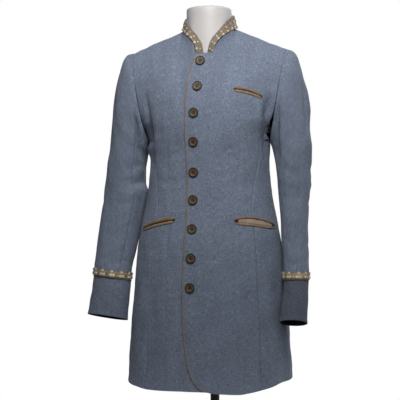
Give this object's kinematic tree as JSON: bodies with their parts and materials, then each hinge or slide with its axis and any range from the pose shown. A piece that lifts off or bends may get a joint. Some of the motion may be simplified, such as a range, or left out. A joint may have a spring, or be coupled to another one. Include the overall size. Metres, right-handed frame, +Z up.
{
  "type": "stand collar coat on a dress form",
  "caption": "Thigh-length woollen coat with a beaded stand collar and cuffs, buttoned down the front, on a white torso form with a round foot.",
  "frame": {"origin": "centre of the round foot's underside, on the floor under the pole", "axes": "+Z up, the wearer faces -Y, +X is the wearer's left"},
  "size_m": [0.5418, 0.3152, 1.018],
  "materials": {
    "wool": "matt blue-grey wool with a fine slub",
    "ribbon": "tan ribbon set with pale beads and copper patches",
    "suede": "brown suede",
    "horn": "dark olive-brown, worn lighter round the ring",
    "form": "off-white, slightly satin",
    "stand": "black satin paint"
  },
  "bodies": {
    "root": {"front_left": "wool", "front_right": "wool", "side_body_left": "wool", "side_body_right": "wool", "back_left": "wool", "back_right": "wool", "sleeve_top_left": "wool", "sleeve_under_left": "wool", "cuff_left": "wool", "cuff_ribbon_left": "ribbon", "cuff_piping_left": "suede", "sleeve_top_right": "wool", "sleeve_under_right": "wool", "cuff_right": "wool", "cuff_ribbon_right": "ribbon", "cuff_piping_right": "suede", "collar_band": "wool", "collar_ribbon": "ribbon", "collar_binding": "suede", "front_piping": "suede", "hip_pocket_right_upper_jet": "suede", "hip_pocket_right_lower_jet": "suede", "hip_pocket_left_upper_jet": "suede", "hip_pocket_left_lower_jet": "suede", "hip_pocket_left_lining": "suede", "breast_pocket_upper_jet": "suede", "breast_pocket_lower_jet": "suede", "button_1": "horn", "button_2": "horn", "button_3": "horn", "button_4": "horn", "button_5": "horn", "button_6": "horn", "button_7": "horn", "button_8": "horn", "button_9": "horn", "form_body": "form", "stand_pole": "stand", "stand_foot": "stand"}
  },
  "joints": []
}
